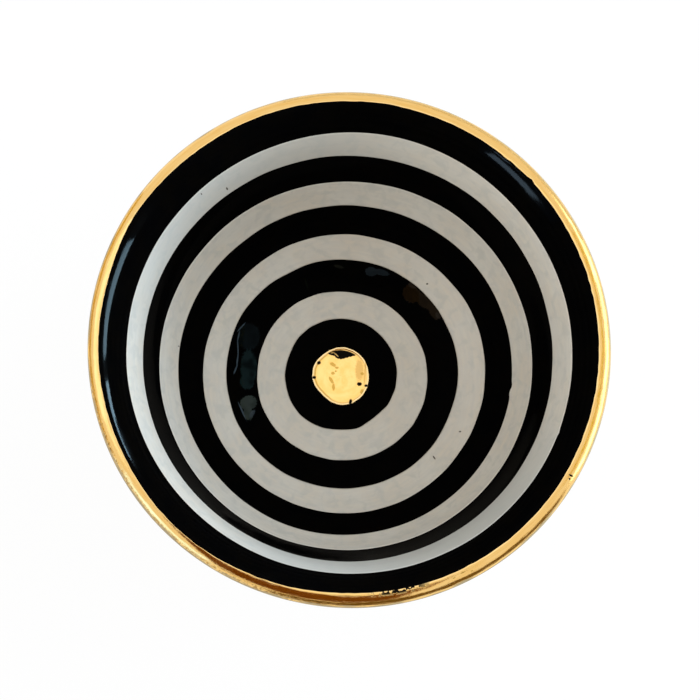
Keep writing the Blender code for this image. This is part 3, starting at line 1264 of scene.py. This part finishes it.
@dataclass
class InnerRings:
    """The black and white glaze rings between the gold dot and the gold rim."""

    bowl: Bowl
    white: WhiteGlaze
    blacks: dict[str, BlackGlaze]
    shoulder: float = 0.35 * MM
    white_rise: float = 0.15 * MM
    white_bead: float = 0.02 * MM
    white_bead_width: float = 0.7 * MM
    black_tuck: float = 0.18 * MM
    black_depth: float = 0.3 * MM
    black_bead: float = 0.03 * MM
    black_bead_width: float = 0.5 * MM
    steps: int = 420
    pieces: list[bpy.types.Object] = field(default_factory=list)

    def build(self) -> None:
        """Make the rings from the dot outward, black and white by turns."""
        places = self.bowl.border_places
        glaze = Glaze.BLACK
        numbers = {Glaze.BLACK: 5, Glaze.WHITE: 4}
        for start, end in zip(places[:-1], places[1:]):
            self.ring(f"{glaze.value}_ring_{numbers[glaze]}", start, end, glaze)
            numbers[glaze] -= 1
            glaze = Glaze.WHITE if glaze is Glaze.BLACK else Glaze.BLACK

    def ring(self, node: str, start: float, end: float, glaze: Glaze) -> None:
        """Make one ring.

        Args:
            node: The CAD node that it stands for.
            start: The place of its inner border.
            end: The place of its outer border.
            glaze: Black lies flush and runs a little under its neighbours. White stands up with round
                shoulders.
        """
        if glaze is Glaze.WHITE:
            finish: Finish = self.white
            section = Section(start, end, self.white_rise, self.shoulder, bead=self.white_bead,
                              bead_width=self.white_bead_width)
        else:
            finish = self.blacks.get(node, self.blacks["others"])
            section = Section(start, end, 0.0, self.shoulder, tuck=self.black_tuck, depth=self.black_depth,
                              bead=self.black_bead, bead_width=self.black_bead_width)
        self.pieces.append(make_coat(self.bowl, node, section, finish, self.steps))


@dataclass
class GoldDot:
    """The gold dot on the floor, with a raised bead round its edge and a valley inside that."""

    bowl: Bowl
    gold: DotGold
    rise: float = 0.07 * MM
    shoulder: float = 0.12 * MM
    depth: float = 0.3 * MM
    bead: float = 0.06 * MM
    bead_width: float = 0.55 * MM
    valley: float = 0.035 * MM
    stations: int = 90
    steps: int = 288

    def build(self) -> None:
        """Make the dot."""
        section = Section(0.0, self.bowl.border_places[0], self.rise, self.shoulder, depth=self.depth,
                          bead=self.bead, bead_width=self.bead_width, valley=self.valley,
                          stations=self.stations)
        make_coat(self.bowl, "gold_dot", section, self.gold, self.steps)


@dataclass
class GoldRim:
    """The gold over the lip, from just inside it to a few millimetres down the outside."""

    bowl: Bowl
    gold: RimGold
    rise: float = 0.03 * MM
    shoulder: float = 0.15 * MM
    depth: float = 0.3 * MM
    stations: int = 110
    steps: int = 540

    def build(self) -> None:
        """Make the rim."""
        section = Section(self.bowl.border_places[-1], self.bowl.gold_end, self.rise, self.shoulder,
                          depth=self.depth, stations=self.stations)
        make_coat(self.bowl, "gold_rim", section, self.gold, self.steps)


@dataclass
class Outside:
    """The white glaze on the outer wall, which ends in a rolled, wavering edge above the foot."""

    bowl: Bowl
    white: WhiteGlaze
    bare_margin: float = 1.0 * MM
    under_gold: float = 0.6 * MM
    shoulder: float = 0.3 * MM
    depth: float = 0.4 * MM
    bead: float = 0.12 * MM
    bead_width: float = 1.2 * MM
    stations: int = 90
    steps: int = 288

    def build(self) -> None:
        """Make the coat."""
        end = self.bowl.outline.place_outside(self.bowl.outline.foot_radius + self.bare_margin)
        section = Section(self.bowl.gold_end - self.under_gold, end, 0.0, self.shoulder, depth=self.depth,
                          bead=self.bead, bead_width=self.bead_width, stations=self.stations)
        make_coat(self.bowl, "outside_glaze", section, self.white, self.steps)


@dataclass
class Foot:
    """The thrown and trimmed clay with its foot ring, and the glaze in the foot's well."""

    bowl: Bowl
    clay: BareClay
    white: WhiteGlaze
    clay_depth: float = 0.28 * MM
    width: float = 5.5 * MM
    well_depth: float = 2.6 * MM
    chamfer: float = 0.6 * MM
    fillet: float = 0.9 * MM
    glaze_thickness: float = 0.75 * MM
    creep: float = 0.45 * MM
    turning_line: float = 0.05 * MM
    arc_points: int = 7
    steps: int = 288

    def build(self) -> None:
        """Make the clay body and the glaze in its well."""
        self.build_clay()
        self.build_well_glaze()

    def foot_section(self) -> np.ndarray:
        """Draw the foot ring.

        Returns:
            Points from the fillet under the wall round the base to the middle of the well, with fine lines
            left by the trimming tool.
        """
        outer = self.bowl.outline.foot_radius
        inner = outer - self.width
        place = self.bowl.outline.place_outside(outer + self.fillet)
        joint = self.bowl.outline.at(np.array([place]), -self.clay_depth)[0]
        turn = np.linspace(0, math.pi / 2, self.arc_points)[1:]
        fillet = joint - self.fillet * np.column_stack((np.sin(turn), 1 - np.cos(turn)))
        heights = np.linspace(fillet[-1][1], self.chamfer, 14)[1:]
        lines = self.turning_line * np.sin(np.arange(len(heights)) * 2.1)
        side = np.column_stack((outer - np.abs(lines), heights))
        across = np.linspace(outer - self.chamfer, inner + self.chamfer, 12)
        scratches = np.abs(self.turning_line * 0.6 * np.sin(np.arange(len(across)) * 1.7))
        base = np.column_stack((across, scratches))
        inside = np.array(((inner, self.chamfer), (inner, self.well_depth - self.chamfer / 2),
                           (inner - self.chamfer / 2, self.well_depth)))
        across_well = np.linspace(inner - 2 * self.chamfer, 0.0, 10)
        well = np.column_stack((across_well, np.full_like(across_well, self.well_depth)))
        return np.vstack((fillet, side, base, inside, well))

    def build_clay(self) -> None:
        """Make the clay body, from the back of the coats to the foot ring."""
        outline = self.bowl.outline
        last = outline.place_outside(outline.foot_radius + self.fillet)
        places = np.concatenate((np.linspace(0, outline.lip_start, 60),
                                 np.linspace(outline.lip_start, outline.lip_end, 26)[1:],
                                 np.linspace(outline.lip_end, last, 44)[1:]))
        behind = outline.at(places, -self.clay_depth)
        behind[0, 0] = 0.0
        piece = turn_section("clay_body_thrown", np.vstack((behind, self.foot_section())), False, self.steps)
        dress(piece, self.clay, "clay_body")

    def build_well_glaze(self) -> None:
        """Make the glaze in the foot's well, which creeps up at its edge."""
        radius = self.bowl.outline.foot_radius - self.width
        face = self.well_depth - self.glaze_thickness
        turn = np.linspace(0, math.pi / 2, self.arc_points)
        edge = np.column_stack((1 - np.sin(turn), 1 - np.cos(turn)))
        meniscus = np.array((radius, face)) - self.creep * edge
        across = np.linspace(0, radius - self.creep, 24)[:-1]
        flat = np.column_stack((across, np.full_like(across, face)))
        section = np.vstack((flat, meniscus, ((radius, self.well_depth), (0.0, self.well_depth))))
        piece = turn_section("foot_well_coat", section[::-1], False, self.steps)
        dress(piece, self.white, "foot_well_glaze")


# Studio


def direction(azimuth: float, elevation: float) -> Vector:
    """Return the direction at an azimuth from +X towards +Y and an elevation, both in degrees."""
    turn, lift = math.radians(azimuth), math.radians(elevation)
    return Vector((math.cos(turn) * math.cos(lift), math.sin(turn) * math.cos(lift), math.sin(lift)))


@dataclass
class Studio:
    """The pale floor, the soft light, the cloths round about and the camera.

    Lengths without a unit of their own are in metres.
    """

    upper_wall: bpy.types.Object
    aim: tuple[float, float, float] = (0.195 * MM, 0.0, 45.0 * MM)
    distance: float = 400.0 * MM
    tilt: float = math.radians(10.5)
    azimuth: float = math.radians(-16.4)
    focal_pixels: float = 1707.5
    dome: Rgb = (1.0, 0.975, 0.93)
    dome_strength: float = 0.92
    light_distance: float = 0.8
    floor_size: float = 6.0
    floor_whiteness: float = 0.94
    clip_start: float = 0.01

    def build(self) -> None:
        """Set up the floor, the light and the camera."""
        self.build_floor()
        self.build_dome()
        self.build_window()
        self.build_far_light()
        self.build_screens()
        self.build_camera()
        bpy.context.scene.view_settings.view_transform = "Standard"

    def build_floor(self) -> None:
        """Lay a plain pale floor that keeps a faint shadow and shows as white in the picture and in gloss."""
        deselect_all()
        bpy.ops.mesh.primitive_plane_add(size=self.floor_size, location=(0, 0, 0))
        floor = bpy.context.object
        floor.name = "floor"
        material = bpy.data.materials.new("floor_paper")
        material.use_nodes = True
        nodes = Nodes(material.node_tree)
        paper = nodes.add("ShaderNodeBsdfDiffuse", {"Color": (0.8, 0.8, 0.8, 1.0)})
        glow = nodes.add("ShaderNodeEmission", {"Color": (1.0, 1.0, 1.0, 1.0), "Strength": 1.0})
        seen = nodes.add("ShaderNodeMixShader",
                         {0: self.floor_whiteness, 1: paper.outputs[0], 2: glow.outputs[0]})
        rays = nodes.add("ShaderNodeLightPath")
        shown = nodes.math("ADD", rays.outputs["Is Camera Ray"], rays.outputs["Is Glossy Ray"])
        shown = nodes.math("ADD", shown, rays.outputs["Is Transmission Ray"])
        mixed = nodes.add("ShaderNodeMixShader", {0: shown, 1: paper.outputs[0], 2: seen.outputs[0]})
        nodes.add("ShaderNodeOutputMaterial", {"Surface": mixed.outputs[0]})
        floor.data.materials.append(material)

    def build_dome(self) -> None:
        """Light the scene evenly from all round."""
        world = bpy.data.worlds.new("soft_dome")
        world.use_nodes = True
        nodes = Nodes(world.node_tree)
        light = nodes.add("ShaderNodeBackground",
                          {"Color": (*self.dome, 1.0), "Strength": self.dome_strength})
        nodes.add("ShaderNodeOutputWorld", {"Surface": light.outputs[0]})
        bpy.context.scene.world = world

    def panel(self, name: str, azimuth: float, elevation: float, width: float, height: float, color: Rgb,
              radiance: float, roll: float = 0.0, glossy: bool = True, diffuse: bool = True,
              mirrored_in: bpy.types.Object | None = None) -> None:
        """Hang a flat light that faces the bowl's rim and isn't seen by the camera.

        Args:
            name: Its name.
            azimuth: Its direction from the bowl, in degrees from +X towards +Y.
            elevation: Its angle above the rim, in degrees.
            width: Its width.
            height: Its height.
            color: Its colour.
            radiance: How bright its face is.
            roll: Its turn about the line to the bowl, in degrees.
            glossy: Whether the glaze and the gold mirror it.
            diffuse: Whether it lights the surfaces.
            mirrored_in: The only piece that it lights and shows in, or None for all of them.
        """
        towards = direction(azimuth, elevation)
        light = bpy.data.lights.new(name, "AREA")
        light.shape = "RECTANGLE"
        light.size = width
        light.size_y = height
        light.color = color
        light.energy = 4 * radiance * width * height
        lamp = bpy.data.objects.new(name, light)
        bpy.context.scene.collection.objects.link(lamp)
        lamp.location = Vector((0, 0, CAD_BOX[1].z)) + towards * self.light_distance
        lamp.rotation_mode = "QUATERNION"
        lamp.rotation_quaternion = towards.to_track_quat("Z", "Y") @ Quaternion((0, 0, 1), math.radians(roll))
        lamp.visible_camera = False
        lamp.visible_glossy = glossy
        lamp.visible_diffuse = diffuse
        if mirrored_in:
            seen_in = bpy.data.collections.new(name + "_seen_in")
            seen_in.objects.link(mirrored_in)
            lamp.light_linking.receiver_collection = seen_in

    def build_window(self) -> None:
        """Hang a cool window to the right: soft light, and two bright panes that the upper wall mirrors."""
        self.panel("window", 30.0, 28.0, 0.74, 0.56, (0.72, 0.86, 1.0), 2.6, glossy=False)
        self.panel("window_low", 14.0, 10.0, 0.5, 0.25, (0.59, 0.79, 1.0), 11.2, glossy=False)
        self.panel("window_glow", 10.0, 9.0, 0.95, 0.40, (0.75, 0.88, 1.0), 1.7, diffuse=False)
        pane = (0.50, 0.80, 1.0)
        wall = self.upper_wall
        self.panel("window_pane_near", 0.6, 6.2, 0.40, 0.19, pane, 300.0, -12.0, diffuse=False,
                   mirrored_in=wall)
        self.panel("window_pane_far", 28.5, 3.2, 0.235, 0.16, pane, 475.0, -3.0, diffuse=False,
                   mirrored_in=wall)

    def build_far_light(self) -> None:
        """Hang dimmer lights on the left, with a blue glow and a bright pane in them, and one overhead."""
        self.panel("far_light", 226.0, 13.0, 0.36, 0.42, (0.55, 0.78, 1.0), 1.2, glossy=False)
        self.panel("far_glow", 219.0, 11.0, 0.42, 0.34, (0.10, 0.42, 1.0), 1.4, diffuse=False)
        self.panel("far_pane", 221.5, 8.0, 0.26, 0.12, (0.55, 0.78, 1.0), 120.0, 15.0, diffuse=False,
                   mirrored_in=self.upper_wall)
        self.panel("room", 190.0, 40.0, 0.6, 0.48, (1.0, 0.96, 0.91), 1.2, glossy=False)
        self.panel("left_light", 166.0, 42.0, 0.6, 0.48, (0.5, 0.72, 1.0), 0.55, diffuse=False)
        self.panel("ceiling", 74.0, 79.0, 0.42, 0.42, (1.0, 1.0, 1.0), 0.26, diffuse=False)

    def build_screens(self) -> None:
        """Hang the cloths that the gold mirrors: dark ones on the viewer's side, paler ones elsewhere."""
        self.card("viewer_cloth", 260.0, 46.5, 0.49, 0.42, 0.42, (0.12, 0.040, 0.003))
        self.card("low_cloth", 292.0, 6.2, 0.3, 0.52, 0.145, (0.13, 0.08, 0.02))
        self.card("left_cloth", 168.0, -5.4, 0.17, 0.20, 0.05, (0.45, 0.30, 0.08))
        self.card("far_cloth", 66.0, -6.0, 0.165, 0.24, 0.07, (0.72, 0.70, 0.66))
        self.card("right_cloth", 8.2, 44.0, 0.44, 0.34, 0.09, (0.68, 0.54, 0.15))

    def card(self, name: str, azimuth: float, elevation: float, distance: float, width: float, height: float,
             color: Rgb) -> None:
        """Hang a flat cloth that faces the bowl and shows in its gloss alone.

        Args:
            name: Its name.
            azimuth: Its direction from the bowl, in degrees from +X towards +Y.
            elevation: Its angle above the rim, in degrees.
            distance: How far away it is.
            width: Its width.
            height: Its height.
            color: Its colour.
        """
        deselect_all()
        towards = direction(azimuth, elevation)
        turn = towards.to_track_quat("Z", "Y").to_euler()
        place = Vector((0, 0, CAD_BOX[1].z)) + towards * distance
        bpy.ops.mesh.primitive_plane_add(size=1.0, location=place, rotation=turn)
        cloth = bpy.context.object
        cloth.name = name
        cloth.scale = (width, height, 1.0)
        material = bpy.data.materials.new(name + "_weave")
        material.use_nodes = True
        nodes = Nodes(material.node_tree)
        weave = nodes.add("ShaderNodeBsdfDiffuse", {"Color": (*color, 1.0)})
        nodes.add("ShaderNodeOutputMaterial", {"Surface": weave.outputs[0]})
        cloth.data.materials.append(material)
        cloth.visible_camera = False
        cloth.visible_diffuse = False
        cloth.visible_shadow = False

    def build_camera(self) -> None:
        """Stand the camera where the photograph was taken from."""
        aim = Vector(self.aim)
        back = Vector((math.sin(self.azimuth) * math.sin(self.tilt),
                       -math.cos(self.azimuth) * math.sin(self.tilt), math.cos(self.tilt)))
        up = Vector((0, 1, 0))
        up = (up - up.dot(back) * back).normalized()
        right = up.cross(back)
        lens = bpy.data.cameras.new("photo_camera")
        lens.sensor_width = SENSOR_WIDTH
        lens.lens = self.focal_pixels * SENSOR_WIDTH / PHOTO_WIDTH
        lens.clip_start = self.clip_start
        camera = bpy.data.objects.new("photo_camera", lens)
        bpy.context.scene.collection.objects.link(camera)
        camera.location = aim + back * self.distance
        camera.rotation_mode = "QUATERNION"
        turn = Matrix((right, up, back)).transposed()
        camera.rotation_quaternion = turn.to_quaternion()
        bpy.context.scene.camera = camera


# Borders and marks that the brush and the kiln left, and the reflections painted on the black glaze


BORDERS = (
    Border(0.09, (-0.28, -0.09), wobble=0.05, ragged=0.02, seed=1, dents=(
        Dent(225, 29, -0.85), Dent(130, 25, -0.42), Dent(180, 25, -0.25), Dent(2, 32, -0.25))),
    Border(0.172, (-0.16, 0.43), -0.17, wobble=0.06, seed=2, dents=(
        Dent(230, 30, 0.55), Dent(285, 9, 0.3), Dent(312, 12, -0.32), Dent(160, 15, -0.3))),
    Border(0.263, (-0.04, -0.36), -0.14, wobble=0.06, seed=3, dents=(
        Dent(178, 30, -0.38), Dent(260, 35, -0.33), Dent(115, 20, 0.2), Dent(37, 12, -0.14))),
    Border(0.358, (0.10, 0.08), -0.24, wobble=0.07, seed=4, dents=(
        Dent(220, 50, 0.2), Dent(118, 7, -0.35), Dent(147, 10, 0.2), Dent(338, 16, -0.3))),
    Border(0.443, (0.49, -0.35), -0.21, wobble=0.07, seed=5, dents=(
        Dent(135, 25, -0.4), Dent(325, 30, -0.48), Dent(155, 18, -0.15), Dent(24, 14, 0.25),
        Dent(262, 12, 0.15), Dent(75, 8, -0.14))),
    Border(0.544, (0.71, -0.19), -0.29, wobble=0.08, seed=6, dents=(
        Dent(132, 24, -0.68), Dent(318, 25, -0.35), Dent(34, 22, 0.38), Dent(246, 44, 0.7),
        Dent(353.7, 0.9, 0.3), Dent(351.1, 1.3, -0.45))),
    Border(0.65, (0.58, -0.81), -0.10, wobble=0.08, seed=7, dents=(
        Dent(148, 40, -0.68), Dent(328, 38, -0.85), Dent(56, 28, 0.72), Dent(226, 26, 0.42),
        Dent(262, 12, -0.16))),
    Border(0.778, (0.52, -0.56), 0.05, wobble=0.08, seed=8, dents=(
        Dent(48, 30, 0.62), Dent(84, 15, 0.32), Dent(150, 40, -0.68), Dent(332, 38, -0.62),
        Dent(232, 36, 0.58), Dent(262, 22, 0.75))),
    Border(0.889, (0.38, -0.98), -0.37, wobble=0.07, seed=9, dents=(
        Dent(78, 31, 1.02), Dent(352, 16, -0.2), Dent(250, 15, 0.3), Dent(162, 18, -0.22),
        Dent(28, 14, 0.16), Dent(338, 0.6, 0.32))),
    Border(1.0, (-0.27, -0.04), -0.58, wobble=0.06, ragged=0.05, seed=10, dents=(
        Dent(82, 2, 0.12), Dent(42.6, 0.8, 0.35), Dent(50.5, 1.2, -0.15), Dent(228, 16, 0.3),
        Dent(270, 16, -0.4), Dent(150, 7, 0.28), Dent(168, 8, -0.18), Dent(126, 12, -0.15))),
)

# Colours of the reflections painted on the black glaze.
BLUE_BLACK = (0.0008, 0.0030, 0.0042, 1.0)
TEAL = (0.0035, 0.0100, 0.0110, 1.0)
BLUE_SHEEN = (0.034, 0.050, 0.066, 1.0)
GREY_GREEN = (0.025, 0.033, 0.030, 1.0)
GREY_BLUE = (0.032, 0.043, 0.052, 1.0)
SLATE = (0.0085, 0.0125, 0.0160, 1.0)
OLIVE_GREY = (0.009, 0.0095, 0.0075, 1.0)
BROWN = (0.0095, 0.0054, 0.0020, 1.0)
PALE_BROWN = (0.019, 0.015, 0.011, 1.0)
DEEP_GREEN = (0.0014, 0.0030, 0.0006, 1.0)

REFLECTION_PATCHES = (
    ReflectionPatch((Mark(-23.8, 9.4, 3.5, 3.0, 84, 0.03),), BLUE_BLACK),
    ReflectionPatch((Mark(-23.7, 1.6, 4.6, 2.2, 90, 0.04), Mark(-24.1, -2.2, 2.0, 1.9, 90, 0.03)), TEAL, 0.3),
    ReflectionPatch((Mark(-25.7, 11.6, 1.6, 0.18, 50), Mark(-26.4, 9.2, 1.6, 0.18, 78), Mark(-26.5, 6.4, 2.2, 0.18, 93),
          Mark(-26.6, 3.2, 1.8, 0.20, 84), Mark(-27.0, 0.9, 1.4, 0.22, 70),
          Mark(-25.2, -9.9, 2.5, 0.22, 115)), BLUE_SHEEN, 0.8),
    ReflectionPatch((Mark(-23.7, -7.6, 2.3, 1.9, 20, 0.03), Mark(-23.7, -10.3, 1.9, 1.2, 100, 0.03)), GREY_GREEN, 0.7),
    ReflectionPatch((Mark(-22.7, -10.4, 1.2, 0.5, 60),), GREY_BLUE),
    ReflectionPatch((Mark(7.4, 26.5, 1.6, 1.2, -8, 0.03), Mark(9.9, 26.3, 2.3, 0.75, -14, 0.03)), SLATE, 0.85),
    ReflectionPatch((Mark(-0.9, 27.7, 1.3, 0.4, -12),), OLIVE_GREY),
    ReflectionPatch((Mark(17.7, 20.8, 2.5, 2.1, -50, 0.03), Mark(20.8, 19.0, 2.9, 1.5, -45, 0.03),
          Mark(23.6, 15.9, 2.2, 1.2, -58, 0.03)), BROWN, 0.75),
    ReflectionPatch((Mark(17.9, 22.9, 1.1, 0.7, -30), Mark(24.5, 15.1, 0.9, 0.6, -60)), PALE_BROWN),
    ReflectionPatch((Mark(-9.2, 23.4, 1.6, 0.12, -72),), DEEP_GREEN),
)

WHITE_SPECKS = (
    Mark(29.5, -15.1, 0.3, 0.2), Mark(-40.9, 4.7, 0.2, 0.12), Mark(-45.5, -1.1, 0.25, 0.2),
    Mark(-29.1, 39.5, 0.25, 0.2), Mark(-35.0, 36.8, 0.18, 0.14), Mark(21.6, 23.0, 0.3, 0.2),
    Mark(23.0, -21.6, 0.6, 0.2, -62),
)
WHITE_CHIPS = (Mark(40.8, -5.5, 0.5, 0.35),)

RIM_NICK = (Mark(49.7, -30.3, 0.6, 0.26, -20), Mark(49.4, -31.1, 0.28, 0.22))
RIM_RUBS = (Mark(24.9, -52.2, 0.6, 0.14, 25), Mark(22.9, -53.4, 0.4, 0.12, 20),
            Mark(26.9, -51.8, 0.3, 0.12, 30))

DOT_SPECKS = (
    Mark(-5.8, 3.3, 0.55, 0.45, 40), Mark(-7.0, -0.5, 0.5, 0.42), Mark(4.6, -2.1, 0.65, 0.5),
    Mark(6.3, -2.5, 0.42, 0.36), Mark(2.3, -6.7, 0.4, 0.75, -12),
)
DOT_RUBS = (
    Mark(-2.6, -1.2, 1.1, 0.42, -58), Mark(-2.05, -2.9, 1.0, 0.38, -88), Mark(-2.2, 2.9, 0.9, 0.5, -30),
    Mark(-2.2, 0.65, 0.5, 0.42), Mark(-1.2, 2.1, 0.5, 0.3), Mark(5.3, 0.6, 0.5, 0.36),
    Mark(5.2, -4.0, 0.7, 0.4, 70), Mark(-1.5, 1.2, 0.3, 0.25),
)
DOT_TANS = (Mark(4.6, 1.5, 2.9, 1.1, 90), Mark(6.0, 0.6, 3.2, 0.3, 86))
DOT_GLINTS = (Mark(-1.35, 5.45, 0.8, 0.15, -42), Mark(-2.35, 5.95, 0.5, 0.13, 10))


def main() -> None:
    """Build the dish round the frame and report each piece."""
    logging.basicConfig(level=logging.INFO, format="%(message)s")
    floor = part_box("gold_dot")[0].z + CAD_COAT
    outline = Outline(rim_radius=CAD_BOX[1].x, floor_height=floor, rim_height=CAD_BOX[1].z)
    bowl = Bowl(outline, BORDERS)
    effects = Effects()
    white = WhiteGlaze("white_glaze_rings", effects, painted_shade_from=62.0, marks=WHITE_SPECKS,
                       light_marks=WHITE_CHIPS)
    outer_white = WhiteGlaze("white_glaze_outside", effects, clouding=0.4, brushing=0.25)
    blacks = {
        "others": BlackGlaze("black_glaze_rings", effects),
        "black_ring_1": BlackGlaze("black_glaze_upper_wall", effects, specular=0.004),
        "black_ring_4": BlackGlaze("black_glaze_painted_reflections", effects, reflection_patches=REFLECTION_PATCHES),
    }
    gold_rim = RimGold("gold_lustre_rim", effects, dark_reflection_from=86.6, marks=RIM_NICK, rubs=RIM_RUBS)
    gold_dot = DotGold("gold_lustre_dot", effects, edge_highlight_width=0.6, edge_highlight=0.6, stroke_length=1.2,
                       stroke_fineness=0.5, ridges=0.03 * MM, marks=DOT_SPECKS, rubs=DOT_RUBS, tans=DOT_TANS,
                       glints=DOT_GLINTS)
    clay = BareClay("bare_clay_body", effects)

    rings = InnerRings(bowl, white, blacks)
    rings.build()
    GoldDot(bowl, gold_dot).build()
    GoldRim(bowl, gold_rim).build()
    Outside(bowl, outer_white).build()
    Foot(bowl, clay, outer_white).build()
    Studio(upper_wall=rings.pieces[-1]).build()


if __name__ == "__main__":
    main()
